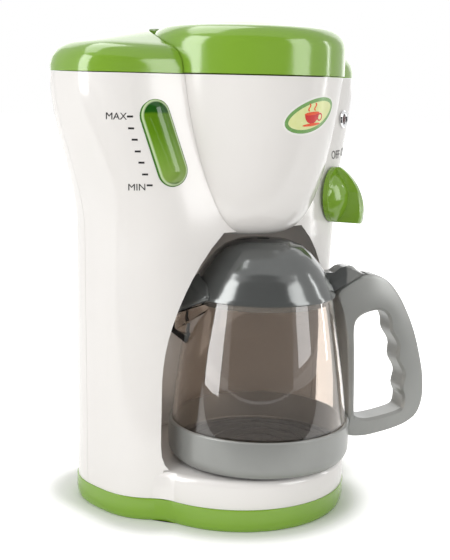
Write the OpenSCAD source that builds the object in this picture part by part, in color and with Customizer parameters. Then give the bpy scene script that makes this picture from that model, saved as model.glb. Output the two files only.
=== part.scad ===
// Toy drip coffee maker: a flared white tower on a round-nosed green base, with a round brew head
// over an arched bay, and a carafe that stands in the bay.
// Frame: +Z up, front towards -Y, origin on the ground under the centre of the round base lobe.

/* [Tower] */
// Half of the tower's width at the foot
tower_half_w = 69; // [64:1:74]
// Half of the tower's width at the lid seam
tower_top_half_w = 89; // [80:1:95]
// Distance from the tower's widest line to its front face, at the foot
tower_front_d = 44; // [38:1:46]
// The same distance at the lid seam, where the front leans back
tower_top_front_d = 32.5; // [30:0.5:38]
// Distance from the tower's widest line to its back face
tower_rear_d = 42; // [40:1:50]
// Where the widest line lies behind the origin, at the foot
tower_mid_y = 28; // [26:1:30]
// Height of the seam between the white tower and the green lid
seam_z = 212; // [206:1:216]
// Height at which the walls start to flare out
flare_from_z = 138; // [130:1:145]
// Wall thickness of the moulded shells
wall = 2.5; // [2:0.1:3]
// Y of the seam between the front and rear shells
shell_split_y = 35; // [33:1:38]

/* [Base] */
// Radius of the round front lobe
lobe_r = 54.2; // [52:0.2:56]
// Height of the green base
base_h = 11.5; // [10:0.5:13]
// Height of the deck that the carafe stands on
deck_z = 25; // [23:0.5:27]

/* [Brew head] */
// Radius of the brew head at the seam
head_r = 46.3; // [45:0.1:47]
// Height of the brew head's underside
head_bottom_z = 136.4; // [136.4:0.2:138]
// Radius of the round brew lid
brew_lid_r = 47; // [46:0.2:48]
// Height of the brew lid's crown
brew_lid_top_z = 238.5; // [236:0.5:242]

/* [Bay] */
// Widest radius of the bay
bay_r = 56; // [54:0.5:57]
// Height at which the bay starts to close in
bay_spring_z = 70; // [65:1:75]
// Height of the bay's ceiling
bay_top_z = 139; // [138:0.5:140]

/* [Controls] */
// Radius of the knob's foot
knob_r = 14.6; // [13:0.2:16]
// Height of the knob's axis
knob_z = 152.5; // [148:1:155]
// How far the knob stands out of the panel
knob_h = 17; // [12:0.5:17]
// Radius of the lamp's bezel
lamp_r = 4.6; // [4:0.1:5]
// Height of the lamp
lamp_z = 191; // [188:1:194]
// Width of the water window
window_w = 15; // [12:0.5:17]
// Length of the water window
window_l = 41; // [36:1:46]

/* [Carafe] */
// How far the carafe's axis stands in front of the lobe's centre
carafe_forward = 14.5; // [0:0.5:15]
// Heading of the handle, anticlockwise from +X seen from above
handle_heading = -25; // [-30:1:-20]
// Radius of the carafe's grey foot cup
cup_r = 45; // [44:0.2:46]
// Height of the foot cup's rim
cup_rim_z = 45; // [43:0.5:47]
// Height of the glass rim
glass_rim_z = 107; // [105:0.5:108]
// Thickness of the glass
glass_wall = 1.8; // [1.5:0.1:2.2]
// Width of the handle across its grip
handle_w = 14; // [12:0.5:15]
// Height of the carafe lid's crown
carafe_lid_top_z = 134.4; // [133:0.2:134.6]

/* [Hidden] */
$fn = 96;

// Colours
white = [0.93, 0.92, 0.90];
green = [0.50, 0.70, 0.25];
silver = [0.55, 0.56, 0.56];
smoke = [0.60, 0.56, 0.54, 0.4];
steel = [0.75, 0.75, 0.76];

// Small gaps
seam_gap = 0.3;
fit_gap = 0.15;
pin_gap = 0.05;
eps = 0.01;

// ---- Tower form: a superellipse at every height, flared by an S-curve ----
ring_n = 56;
corner_power = 2.6;
front_mid_power = 3.4;
front_top_power = 3.2;
early_flare = 0.16;
flare_to_z = seam_z - 2;
tower_z = [base_h, 70, 132, 142, 150, 157, 163, 169, 175, 181, 187, 193, 200, 206, seam_z];

function clamp01(u) = min(max(u, 0), 1);
function s_curve(u) = let (v = clamp01(u)) v * v * (3 - 2 * v);
function flare(z) = early_flare * z / seam_z
    + (1 - early_flare) * s_curve((z - flare_from_z) / (flare_to_z - flare_from_z));
function blend(a, b, t) = a + (b - a) * t;
function signed_pow(v, p) = sign(v) * pow(abs(v), p);

function half_w(z) = blend(tower_half_w, tower_top_half_w, flare(z));
function mid_y(z) = blend(tower_mid_y, tower_mid_y - 4, flare(z));
function front_d(z) = blend(tower_front_d, tower_top_front_d, flare(z));
function rear_d(z) = tower_rear_d + flare(z);
function front_power(z) = z < flare_from_z
    ? blend(corner_power, front_mid_power, s_curve((z - 40) / 80))
    : blend(front_mid_power, front_top_power, flare(z));

// Point of the tower's wall at angle a and height z, moved out by grow
function tower_point(a, z, grow = 0) =
    let (front = sin(a) < 0,
         p = 2 / (front ? front_power(z) : corner_power),
         depth = (front ? front_d(z) : rear_d(z)) + grow)
    [(half_w(z) + grow) * signed_pow(cos(a), p), mid_y(z) + depth * signed_pow(sin(a), p), z];

function tower_ring(z, grow = 0) = [for (i = [0:ring_n - 1]) tower_point(360 * i / ring_n, z, grow)];
function flat(ring) = [for (p = ring) [p[0], p[1]]];

// Outward unit normal of the tower's wall
function tower_normal(a, z) =
    let (along = tower_point(a + 0.5, z) - tower_point(a - 0.5, z),
         up = tower_point(a, z + 1) - tower_point(a, z - 1),
         n = cross(along, up))
    n / norm(n);

// Y of the back wall at a given x
function rear_y(x, z) =
    mid_y(z) + rear_d(z) * pow(1 - pow(abs(x) / half_w(z), corner_power), 1 / corner_power);

// Solid through a stack of rings with equal numbers of points
module loft(rings) {
    n = len(rings[0]);
    last = len(rings) - 1;
    sides = [for (k = [0:last - 1], i = [0:n - 1])
        let (j = (i + 1) % n, a = k * n + i, b = k * n + j)
        each [[a, a + n, b], [b, a + n, b + n]]];
    bottom = [for (i = [0:n - 1]) i];
    top = [for (i = [n - 1:-1:0]) last * n + i];
    polyhedron(points = [for (r = rings) each r], faces = concat([bottom], sides, [top]));
}

module tower_solid(grow, from_z, to_z) {
    levels = concat([from_z], [for (z = tower_z) if (z > from_z + 1 && z < to_z - 1) z], [to_z]);
    loft([for (z = levels) tower_ring(z, grow)]);
}

// Slab that keeps one side of the shell seam
module behind_split() {
    translate([-150, shell_split_y, -10]) cube([300, 100, 300]);
}

module in_front_of_split(gap = 0) {
    translate([-150, shell_split_y - gap - 200, -10]) cube([300, 200, 300]);
}

// Places children on the tower's wall with their +Z pointing out
module on_tower(a, z, sink = 0) {
    n = tower_normal(a, z);
    translate(tower_point(a, z) - sink * n)
        rotate([0, acos(n[2]), atan2(n[1], n[0])])
        rotate([0, 0, 90])
        children();
}

// ---- Brew head form ----
head_h = seam_z - head_bottom_z;
head_power = 0.2;
head_steps = 18;
function head_radius(z) = head_r * pow(max(z - head_bottom_z, 0) / head_h, head_power);
// Heights crowd together near the rounded bottom
function head_level(i) = head_bottom_z + head_h * pow(i / head_steps, 3);

module head_solid(grow) {
    rotate_extrude()
        polygon(concat(
            [[0, head_bottom_z - grow]],
            [for (i = [1:head_steps]) [head_radius(head_level(i)) + grow, head_level(i) - grow]],
            [[head_r + grow, seam_z + 1], [0, seam_z + 1]]));
}

// ---- Bay form ----
bay_floor_r = 50.5;
bay_fillet_z = 38;
bay_arch_h = 82;
bay_steps = 10;
function bay_radius(z) =
    z < bay_fillet_z
        ? bay_floor_r + (bay_r - 0.5 - bay_floor_r)
            * sqrt(1 - pow((bay_fillet_z - z) / (bay_fillet_z - deck_z), 2))
    : z < bay_spring_z ? blend(bay_r - 0.5, bay_r, (z - bay_fillet_z) / (bay_spring_z - bay_fillet_z))
    : bay_r * sqrt(1 - pow((z - bay_spring_z) / bay_arch_h, 2));
bay_levels = concat(
    [for (i = [0:4]) blend(deck_z, bay_fillet_z, pow(i / 4, 2))],
    [for (i = [0:bay_steps]) blend(bay_spring_z, bay_top_z, i / bay_steps)]);

function bay_outline(grow) = concat(
    [[0, deck_z + seam_gap]],
    [for (z = bay_levels) [bay_radius(z) + grow, max(z, deck_z + seam_gap)]],
    [[bay_radius(bay_top_z) + grow, bay_top_z + grow], [0, bay_top_z + grow]]);

module bay_solid(grow) {
    rotate_extrude() polygon(bay_outline(grow));
}

// ---- Base ----
base_floor = 3;
base_levels = [[0, 2.2], [1, 1.1], [2.6, 0.5], [5, 0.1], [base_h, 0]];

module base_plan(inset, from_z, to_z) {
    steps = [for (s = base_levels) if (s[0] > from_z && s[0] < to_z) s];
    loft([for (s = concat([[from_z, base_levels[0][1]]], steps, [[to_z, 0]]))
        [for (p = tower_ring(base_h, 0.6 - s[1] - inset)) [p[0], p[1], s[0]]]]);
    rotate_extrude()
        polygon(concat(
            [[0, from_z], [lobe_r - base_levels[0][1] - inset, from_z]],
            [for (s = steps) [lobe_r - s[1] - inset, s[0]]],
            [[lobe_r - inset, to_z], [0, to_z]]));
}

// Battery box inside the base
cell_r = 7.1;
cell_l = 50;
cell_n = 3;
box_mid = [0, 40];
box_in = [56, 3 * 2 * cell_r + 3.4];
box_wall = 2;
box_top_z = 19.5;
door_size = [62, 52];
door_t = 2;
door_z = 0.5;
door_gap = 0.4;

box_from_z = door_z + door_t + 0.1;

module box_block(size, from_z, to_z) {
    translate([box_mid[0] - size[0] / 2, box_mid[1] - size[1] / 2, from_z])
        cube([size[0], size[1], to_z - from_z]);
}

module battery_box() {
    difference() {
        union() {
            box_block(box_in + 2 * box_wall * [1, 1], box_from_z, box_top_z);
            // Flange that the door closes against
            box_block(door_size + 2 * box_wall * [1, 1], box_from_z, base_floor + 1.2);
        }
        box_block(box_in, 0, box_top_z - box_wall);
    }
}

boss_x = 56;
boss_z = [34, 128];
boss_r = 4;
screw_r = 1.5;
screw_head_r = 2.8;
screw_seat_y = 44;
boss_front_y = 29.5;

module base_tray() color(green) {
    difference() {
        base_plan(0, 0, base_h);
        translate([0, 0, base_floor]) base_plan(wall, 0, base_h + 1);
        box_block(door_size, -1, base_floor + 1);
    }
    battery_box();
}

module battery_door() color(green) {
    inner = [door_size[0] - 2 * door_gap, door_size[1] - 2 * door_gap];
    rib_pitch = 3;
    difference() {
        translate([box_mid[0] - inner[0] / 2, box_mid[1] - inner[1] / 2, door_z])
            cube([inner[0], inner[1], door_t]);
        // Grip grooves across the underside
        for (i = [-2:2])
            translate([box_mid[0] - 9, box_mid[1] + 12 + i * rib_pitch, door_z - 0.5])
                cube([18, 1.2, 1.1]);
    }
}

cell_pitch = 2 * cell_r + 0.8;
cell_z = door_z + door_t + 0.4 + cell_r;

module batteries() color([0.25, 0.30, 0.28]) {
    for (i = [-1:1])
        translate([box_mid[0] - cell_l / 2, box_mid[1] + i * cell_pitch, cell_z])
            rotate([0, 90, 0]) {
                cylinder(r = cell_r, h = cell_l - 1.2);
                translate([0, 0, cell_l - 1.2 - eps]) cylinder(r = 2.7, h = 1.2);
            }
}

module battery_contacts() color(steel) {
    for (i = [-1:1]) {
        translate([box_mid[0] - box_in[0] / 2, box_mid[1] + i * cell_pitch - 5, cell_z - 5])
            cube([0.6, 10, 10]);
        // Conical coil spring against the flat end, drawn as two stacked turns
        translate([box_mid[0] - box_in[0] / 2 + 0.5, box_mid[1] + i * cell_pitch, cell_z])
            rotate([0, 90, 0]) {
                difference() {
                    cylinder(r = 4, h = 1.2);
                    translate([0, 0, -1]) cylinder(r = 3, h = 4);
                }
                translate([0, 0, 1.1])
                    difference() {
                        cylinder(r = 3.2, h = 1.1);
                        translate([0, 0, -1]) cylinder(r = 2.2, h = 4);
                    }
            }
        translate([box_mid[0] + box_in[0] / 2 - 0.6, box_mid[1] + i * cell_pitch - 5, cell_z - 5])
            cube([0.6, 10, 10]);
    }
}

// ---- Deck ----
deck_t = 2.2;
deck_round = 3.2;

module deck() color(white) {
    side_r = lobe_r - 0.4;
    crown = [for (i = [0:6]) let (a = 90 * i / 6)
        [side_r - deck_round + deck_round * cos(90 - a) , deck_z - deck_round + deck_round * cos(a)]];
    difference() {
        rotate_extrude()
            polygon(concat(
                [[0, deck_z - deck_t], [0, deck_z]],
                crown,
                [[side_r, base_h + 0.1], [side_r - wall, base_h + 0.1],
                 [side_r - wall, deck_z - deck_t - 1], [side_r - wall - 1, deck_z - deck_t]]));
        // The skirt stops inside the tower, in front of the battery box
        translate([-60, 10, base_h - 1]) cube([120, 60, deck_z - deck_t - base_h + 1]);
    }
}

// ---- Tower shells ----
knob_a = 308;
lamp_a = 312;
window_a = 236.5;
window_z = 181.2;
window_lean = 19;

module tower_skin() {
    difference() {
        tower_solid(0, base_h + 0.1, seam_z - 0.1);
        tower_solid(-wall, base_h - 1, seam_z + 1);
    }
}

module screw_posts(from_y, to_y, r) {
    for (s = [-1, 1], z = boss_z)
        translate([s * boss_x, from_y, z]) rotate([-90, 0, 0]) cylinder(r = r, h = to_y - from_y);
}

// Shelf round the brew head, which joins the two sides of the front shell
shelf_z = bay_top_z + 2.3;
shelf_t = 2;

module head_shelf() {
    intersection() {
        translate([0, 0, shelf_z])
            linear_extrude(height = shelf_t) polygon(flat(tower_ring(shelf_z, -wall + 0.4)));
        in_front_of_split(seam_gap / 2);
    }
}

module front_shell() color(white) {
    difference() {
        union() {
            intersection() {
                tower_skin();
                in_front_of_split(seam_gap / 2);
            }
            screw_posts(boss_front_y, shell_split_y - seam_gap / 2, boss_r);
            // Ribs that carry the posts on the side walls
            for (s = [-1, 1], z = boss_z)
                translate([s * (boss_x + 7.8), (boss_front_y + shell_split_y - seam_gap) / 2, z])
                    cube([10.4, shell_split_y - seam_gap - boss_front_y, 2], center = true);
            head_shelf();
        }
        screw_posts(boss_front_y + 1.5, shell_split_y + 1, screw_r);
        bay_solid(0);
        // The deck and lobe pass under the arch
        translate([0, 0, base_h - 5]) cylinder(r = lobe_r, h = deck_z + 0.5 - base_h + 5);
        head_solid(fit_gap);
        on_tower(knob_a, knob_z) {
            translate([0, 0, -10]) cylinder(r = 3.1, h = 20);
            // Flat seat for the knob's foot
            cylinder(r = knob_r + 0.5, h = 8);
        }
        on_tower(lamp_a, lamp_z) translate([0, 0, -10]) cylinder(r = 2.9, h = 20);
        on_tower(window_a, window_z) rotate([0, 0, window_lean])
            window_plug(window_w - 3, window_l - 3, 12, -6);
    }
}

module rear_shell() color(white) {
    difference() {
        union() {
            intersection() {
                tower_skin();
                behind_split();
            }
            screw_posts(shell_split_y, rear_y(boss_x + boss_r, boss_z[0]) - 1, boss_r);
        }
        screw_posts(shell_split_y - 1, 90, screw_r + 0.2);
        screw_posts(screw_seat_y, 90, screw_head_r + 0.3);
    }
}

module shell_screws() color(steel) {
    for (s = [-1, 1], z = boss_z)
        translate([s * boss_x, 0, z])
            difference() {
                union() {
                    translate([0, boss_front_y + 2.5, 0]) rotate([-90, 0, 0])
                        cylinder(r = screw_r - 0.02, h = screw_seat_y - boss_front_y - 2.5 + eps);
                    translate([0, screw_seat_y, 0]) rotate([-90, 0, 0])
                        cylinder(r = screw_head_r, h = 2);
                }
                for (turn = [0, 90])
                    translate([0, screw_seat_y + 2, 0]) rotate([0, turn, 0])
                        cube([3.4, 2.2, 0.8], center = true);
            }
}

module bay_wall() color(white) {
    liner = 2;
    intersection() {
        difference() {
            rotate_extrude()
                polygon(concat(
                    [for (z = bay_levels) [bay_radius(z) + liner, max(z, deck_z + seam_gap)]],
                    [[bay_radius(bay_top_z) + liner, bay_top_z + liner],
                     [head_radius(bay_top_z + liner) + fit_gap, bay_top_z + liner],
                     [head_radius(bay_top_z) + fit_gap, bay_top_z]],
                    [for (i = [len(bay_levels) - 1:-1:0])
                        [bay_radius(bay_levels[i]), max(bay_levels[i], deck_z + seam_gap)]]));
            head_solid(fit_gap);
        }
        tower_solid(-wall - fit_gap, deck_z - 1, bay_top_z + 5);
    }
}

// ---- Brew head ----
funnel_wall = 2.2;
drip_hole_r = 5;

module brew_funnel() color(white) {
    rotate_extrude()
        polygon(concat(
            [[drip_hole_r, head_bottom_z]],
            [for (i = [4:head_steps]) [head_radius(head_level(i)), head_level(i)]],
            [for (i = [head_steps:-1:4])
                [head_radius(head_level(i)) - funnel_wall, head_level(i) + (i < 9 ? funnel_wall : 0)]],
            [[drip_hole_r, head_bottom_z + funnel_wall]]));
}

module drip_nozzle() color(silver) {
    rotate_extrude()
        polygon([[2, head_bottom_z], [drip_hole_r - 0.1, head_bottom_z],
            [drip_hole_r - 0.1, head_bottom_z + funnel_wall + 0.3],
            [7, head_bottom_z + funnel_wall + 0.3], [7, head_bottom_z + 4], [3, head_bottom_z + 6],
            [2, head_bottom_z + 6]]);
}

basket_top_z = 206;
basket_bottom_z = 148;

module filter_basket() color(silver) {
    levels = [for (i = [0:8]) blend(basket_bottom_z, basket_top_z, i / 8)];
    clearance = funnel_wall + 1;
    difference() {
        union() {
            rotate_extrude()
                polygon(concat(
                    [[0, basket_bottom_z]],
                    [for (z = levels) [head_radius(z) - clearance, z]],
                    [for (i = [8:-1:0])
                        [head_radius(levels[i]) - clearance - 1.6, levels[i] + (i == 0 ? 1.6 : 0)]],
                    [[0, basket_bottom_z + 1.6]]));
            // Finger bridge across the top
            intersection() {
                translate([-50, -4, basket_top_z - 4]) cube([100, 8, 4]);
                cylinder(r = head_radius(basket_top_z) - clearance - 0.5, h = 300);
            }
        }
        // Drain holes in the floor
        for (ring = [1:3], i = [0:5 * ring - 1])
            rotate([0, 0, 360 * i / (5 * ring)])
                translate([6.5 * ring, 0, basket_bottom_z - 1]) cylinder(r = 1.3, h = 4);
    }
}

// ---- Lid of the tower and brew lid ----
lid_edge = [[0, 0.3], [0, 3], [0.8, 6.5], [3, 10], [7, 12.6], [12, 14]];
crown_mid_y = 42;
crown_h = 9.5;
crown_power = 1.6;
crown_steps = [0.85, 0.7, 0.55, 0.4, 0.25, 0.1];
well_r = brew_lid_r + 0.6;
well_rim = 2;

function cover_rings(inset) = concat(
    [for (e = lid_edge) [for (p = tower_ring(seam_z, -e[0] - inset)) [p[0], p[1], seam_z + e[1] - inset]]],
    [for (t = crown_steps) [for (p = tower_ring(seam_z, -lid_edge[5][0] - inset))
        [p[0] * t, crown_mid_y + (p[1] - crown_mid_y) * t,
         seam_z + lid_edge[5][1] + crown_h * (1 - pow(t, crown_power)) - inset]]]);

hinge_y = 50;
hinge_z = 231.5;
hinge_r = 3.4;
hinge_pin_r = 1.25;
hinge_half_w = 20;
hinge_tongue_w = 22;

module cover_dome(inset) {
    loft(cover_rings(inset));
}

module hinge_barrel(r, w) {
    translate([-w / 2, hinge_y, hinge_z]) rotate([0, 90, 0]) cylinder(r = r, h = w);
}

module top_cover() color(green) {
    difference() {
        intersection() {
            cover_dome(0);
            union() {
                difference() {
                    translate([-120, -60, seam_z - 5]) cube([240, 200, 60]);
                    cover_dome(wall);
                }
                // Upright wall round the lid's well
                translate([0, 0, seam_z - 5]) cylinder(r = well_r + well_rim, h = 50);
                hinge_barrel(hinge_r + 3.5, 2 * hinge_half_w);
            }
        }
        translate([0, 0, seam_z - 6]) cylinder(r = well_r, h = 60);
        // Room for the lid's tongue, and the pin's bore
        translate([-hinge_tongue_w / 2 - 0.3, hinge_y - hinge_r - 6, hinge_z - hinge_r - 2])
            cube([hinge_tongue_w + 0.6, 2 * hinge_r + 8, 30]);
        hinge_barrel(hinge_pin_r, 2 * hinge_half_w - 4);
    }
}

lid_under_z = seam_z + 0.6;
lid_side_top_z = 225;
lid_shoulder_r = 37;
lid_t = 2.2;
lid_shoulder_steps = 6;

function lid_profile(inset) = concat(
    [[brew_lid_r - inset, lid_under_z - (inset > 0 ? 1 : 0)], [brew_lid_r - inset, lid_side_top_z]],
    [for (i = [1:lid_shoulder_steps]) let (a = 90 * i / lid_shoulder_steps)
        [lid_shoulder_r + (brew_lid_r - lid_shoulder_r - inset) * cos(a),
         lid_side_top_z + (9.5 - inset) * sin(a)]],
    [for (i = [1:5]) let (t = 1 - i / 5)
        [lid_shoulder_r * t, lid_side_top_z + 9.5 - inset + (brew_lid_top_z - lid_side_top_z - 9.5)
            * (1 - t * t)]]);

module brew_lid() color(green) {
    difference() {
        union() {
            rotate_extrude()
                difference() {
                    polygon(concat([[0, lid_under_z]], lid_profile(0)));
                    polygon(concat([[0, lid_under_z - 1]], lid_profile(lid_t)));
                }
            // Hinge tongue at the back
            difference() {
                union() {
                    hinge_barrel(hinge_r, hinge_tongue_w);
                    translate([-hinge_tongue_w / 2, hinge_y - 14, hinge_z - 1.5])
                        cube([hinge_tongue_w, 14, 3.4]);
                }
                translate([0, 0, lid_under_z]) cylinder(r = lid_shoulder_r, h = 21);
            }
        }
        hinge_barrel(hinge_pin_r + pin_gap, 60);
    }
}

module brew_lid_pin() color(steel) {
    hinge_barrel(hinge_pin_r, 2 * hinge_half_w - 4.2);
}

// ---- Water window, lamp and knob ----
module window_plug(w, l, h, from_z) {
    translate([0, 0, from_z]) {
        for (s = [-1, 1])
            translate([0, s * (l - w) / 2, 0]) cylinder(r = w / 2, h = h);
        translate([-w / 2, -(l - w) / 2, 0]) cube([w, l - w, h]);
    }
}

module level_window() color([0.45, 0.75, 0.15, 0.7]) {
    bulge = 3;
    r = window_w / 2;
    // Sphere that rises by the bulge over the window's half width
    ball_r = (r * r + bulge * bulge) / (2 * bulge);
    on_tower(window_a, window_z) rotate([0, 0, window_lean]) {
        hull()
            for (s = [-1, 1])
                translate([0, s * (window_l - window_w) / 2, 0])
                    intersection() {
                        translate([0, 0, bulge - ball_r]) sphere(r = ball_r, $fn = 40);
                        translate([0, 0, -1]) cylinder(r = r, h = 10, $fn = 40);
                    }
        window_plug(window_w - 3.3, window_l - 3.3, 5, -4.5);
    }
}

module lamp_bezel() color(steel) {
    on_tower(lamp_a, lamp_z)
        rotate_extrude()
            polygon([[2.7, -3], [2.85, -3], [2.85, 0.1], [lamp_r, 0.1], [lamp_r, 0.7], [lamp_r - 0.6, 1.3],
                [3.2, 1.3], [2.7, 0.7]]);
}

module lamp_lens() color([0.35, 0.08, 0.06]) {
    on_tower(lamp_a, lamp_z)
        rotate_extrude()
            polygon([[0, -6], [2.65, -6], [2.65, 0], [2.2, 0.8], [1.2, 1.3], [0, 1.5]]);
}

knob_foot_h = 3;
knob_shaft_r = 3;
grip_w = 7;
flank_h = 10.5;
flank_r = knob_r - 0.8;
groove_r = 6.5;
grip_arc_r = 24;
grip_peak_y = -7;

module knob() color(green) {
    // Sphere that gives the flanks their height over the foot's radius
    ball_r = (flank_r * flank_r + flank_h * flank_h) / (2 * flank_h) + 1;
    on_tower(knob_a, knob_z) {
        translate([0, 0, 0.4]) cylinder(r = knob_r, h = knob_foot_h - 0.4);
        difference() {
            intersection() {
                cylinder(r = flank_r, h = knob_h);
                translate([0, -2, flank_h + 0.8 - ball_r]) sphere(r = ball_r);
            }
            translate([0, 0, -5]) cylinder(r = knob_r + 1, h = 5.4);
            // Finger grooves beside the grip
            for (s = [-1, 1])
                translate([s * (grip_w / 2 + groove_r - 0.6), 0, flank_h + groove_r - 4.5])
                    rotate([90, 0, 0]) cylinder(r = groove_r, h = 60, center = true);
        }
        // Grip that climbs from its pointed end to its square end
        intersection() {
            translate([0, 0, 1]) cylinder(r = knob_r - 0.2, h = knob_h + 5);
            translate([-grip_w / 2, -knob_r, 1]) cube([grip_w, 2 * knob_r, knob_h + 5]);
            translate([0, grip_peak_y, knob_h - grip_arc_r])
                rotate([0, 90, 0]) cylinder(r = grip_arc_r, h = grip_w + 2, center = true);
        }
        translate([0, 0, -8]) cylinder(r = knob_shaft_r, h = 9);
    }
}

module switch_body() color([0.2, 0.2, 0.22]) {
    on_tower(knob_a, knob_z)
        difference() {
            translate([-5.5, -5.5, -11.5]) cube([11, 11, 7]);
            translate([0, 0, -9]) cylinder(r = knob_shaft_r + pin_gap, h = 10);
        }
}

// ---- Inner works ----
tank_from_z = 148;
tank_to_z = 205;
tank_wall = 2;

module tank_plan(inset) {
    difference() {
        intersection() {
            polygon(flat(tower_ring(tank_from_z, -wall - 2.5 - inset)));
            translate([-100, 8 + inset]) square([200, 100]);
        }
        circle(r = head_r + 2 + inset);
    }
}

module water_tank() color([0.85, 0.88, 0.9, 0.6]) {
    difference() {
        translate([0, 0, tank_from_z]) linear_extrude(height = tank_to_z - tank_from_z) tank_plan(0);
        translate([0, 0, tank_from_z + tank_wall])
            linear_extrude(height = tank_to_z - tank_from_z) tank_plan(tank_wall);
    }
}

tube_r = 2.5;
tube_at = [-47, 54];

module feed_tube() color([0.9, 0.9, 0.9]) {
    translate([tube_at[0], tube_at[1], 22.2])
        difference() {
            cylinder(r = tube_r, h = tank_from_z - 22.2);
            translate([0, 0, -1]) cylinder(r = tube_r - 1, h = tank_from_z);
        }
}

module pump() color([0.2, 0.2, 0.22]) {
    translate([tube_at[0], tube_at[1] - 7, base_floor + 0.1]) {
        cylinder(r = 8.5, h = 15);
        translate([0, 7, 10]) cylinder(r = 3.2, h = 9);
    }
}

// ---- Carafe ----
glass_foot_r = 43.4;
glass_taper = 0.04;
glass_power = 1.3;
glass_floor_z = 30;
glass_steps = 12;
function glass_radius(z) =
    glass_foot_r - glass_taper * pow(max(z - cup_rim_z, 0), glass_power);
glass_levels = concat([32, 38], [for (i = [0:glass_steps]) blend(cup_rim_z, glass_rim_z, i / glass_steps)]);

spout_heading = handle_heading + 180;
spout_reach = 46.3;
spout_tip_z = 98.3;
spout_low_z = 84;
spout_half_w = 16;

module at_carafe() {
    translate([0, -carafe_forward, 0]) children();
}

function glass_profile(inset) = concat(
    [[0, glass_floor_z - 1 + inset], [glass_foot_r - 2.5 - inset, glass_floor_z - 1 + inset]],
    [for (z = glass_levels) [glass_radius(z) - inset, z]],
    [[glass_radius(glass_rim_z) - inset, glass_rim_z + (inset > 0 ? 5 : 0)],
     [0, glass_rim_z + (inset > 0 ? 5 : 0)]]);

// V-shaped pouring lip pulled out of the glass; an inset one reaches higher, to open its top
module spout_wedge(inset, lift) {
    rotate([0, 0, spout_heading])
        hull() {
            translate([spout_reach - 2 - inset, 0, spout_tip_z - 8 + inset])
                cylinder(r = 2 - inset / 2, h = 8 - inset + lift, $fn = 24);
            translate([glass_radius(glass_rim_z) - 8, -spout_half_w + inset, glass_rim_z - 3])
                cube([3.5, 2 * (spout_half_w - inset), 3 + lift]);
            translate([glass_radius(spout_low_z) - 3 - inset, -1, spout_low_z + inset * 2]) cube([3, 2, 1]);
        }
}

module carafe_glass() color(smoke) {
    at_carafe()
        difference() {
            union() {
                rotate_extrude() polygon(glass_profile(0));
                spout_wedge(0, 0);
            }
            rotate_extrude() polygon(glass_profile(glass_wall));
            spout_wedge(glass_wall, 6);
        }
}

cup_inner_r = glass_foot_r + fit_gap;
cup_floor_z = 28.6;
cup_bottom_z = deck_z + seam_gap;

module carafe_cup() color(silver) {
    round_r = 7;
    at_carafe()
        rotate_extrude()
            polygon(concat(
                [[0, cup_floor_z], [0, cup_bottom_z + 1.2], [30, cup_bottom_z + 1.2], [30.8, cup_bottom_z]],
                [for (i = [0:6]) let (a = -90 + 90 * i / 6)
                    [cup_r - round_r + round_r * cos(a), cup_bottom_z + round_r + round_r * sin(a)]],
                [[cup_r, cup_rim_z - 0.6], [cup_r - 0.5, cup_rim_z], [cup_inner_r, cup_rim_z],
                 [cup_inner_r, 31.8], [cup_inner_r - 2.5, cup_floor_z]]));
}

// Handle loop: an outer and an inner closed spline, skinned with a rounded section
handle_outer = [
    [46, 33], [54.9, 31.4], [64.5, 32.6], [72.7, 34.4], [79.5, 36.9], [85.2, 41.3], [88.2, 50],
    [87.8, 62.1], [85.6, 72.5], [82.4, 83.6], [78.3, 93.5], [72.3, 104.3], [65.5, 112], [58, 115.4],
    [50.5, 114.6], [43.5, 111.2], [38, 106.5], [40.6, 98], [43, 85], [44.6, 70], [45.5, 52], [45.9, 40]
];
handle_inner = [
    [50.5, 42.2], [56, 40.9], [63, 41.6], [70.5, 43.1], [75.6, 45], [76.8, 49.5], [76.3, 55],
    [75.4, 62], [73.6, 70], [71, 79.5], [68.4, 87.5], [65.8, 94.5], [61.5, 97.2], [56.5, 96.8],
    [52, 95.2], [49.2, 92.9], [48, 90], [47.8, 85], [48.3, 78], [48.9, 68], [49.3, 52], [49.6, 44.6]
];
handle_steps = 4;
groove_depth = 1;
groove_pitch = 15.2;
groove_low_z = 52.3;
groove_high_z = 90.3;

// Point on a closed spline through the points, at u counted in points
function spline_point(pts, u) =
    let (n = len(pts), i = floor(u), t = u - i,
         a = pts[(i + n - 1) % n], b = pts[i % n], c = pts[(i + 1) % n], d = pts[(i + 2) % n])
    0.5 * (2 * b + (c - a) * t + (2 * a - 5 * b + 4 * c - d) * t * t
        + (3 * b - a - 3 * c + d) * t * t * t);

// Finger grooves run down the grip's inner face
function groove(p) =
    p[0] < 60 || p[1] < groove_low_z || p[1] > groove_high_z ? 0
    : -groove_depth * sin(360 * (p[1] - groove_low_z) / groove_pitch);

function handle_outer_at(u) = spline_point(handle_outer, u);
function handle_inner_at(u) = let (p = spline_point(handle_inner, u)) [p[0] + groove(p), p[1]];

// Section round the loop at station u: [radius, offset, height]
edge_round = 2.2;
function handle_section(u) =
    let (o = handle_outer_at(u), i = handle_inner_at(u), h = handle_w / 2, e = edge_round,
         d = (i - o) / norm(i - o))
    [for (q = [[o + d * e, -h], [o + d * e * 0.3, -h + e * 0.3], [o, -h + e],
               [o, h - e], [o + d * e * 0.3, h - e * 0.3], [o + d * e, h],
               [i - d * e * 0.6, h], [i, h - e * 0.6],
               [i, -h + e * 0.6], [i - d * e * 0.6, -h]])
        [q[0][0], q[1], q[0][1]]];

module handle_loop() {
    count = len(handle_outer) * handle_steps;
    sections = [for (k = [0:count - 1]) handle_section(k / handle_steps)];
    m = len(sections[0]);
    polyhedron(
        points = [for (s = sections) each s],
        faces = [for (k = [0:count - 1], j = [0:m - 1])
            let (k2 = (k + 1) % count, j2 = (j + 1) % m,
                 a = k * m + j, b = k * m + j2, c = k2 * m + j2, d = k2 * m + j)
            each [[a, b, c], [a, c, d]]]);
}

module in_handle_plane() {
    at_carafe() rotate([0, 0, handle_heading]) children();
}

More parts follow.
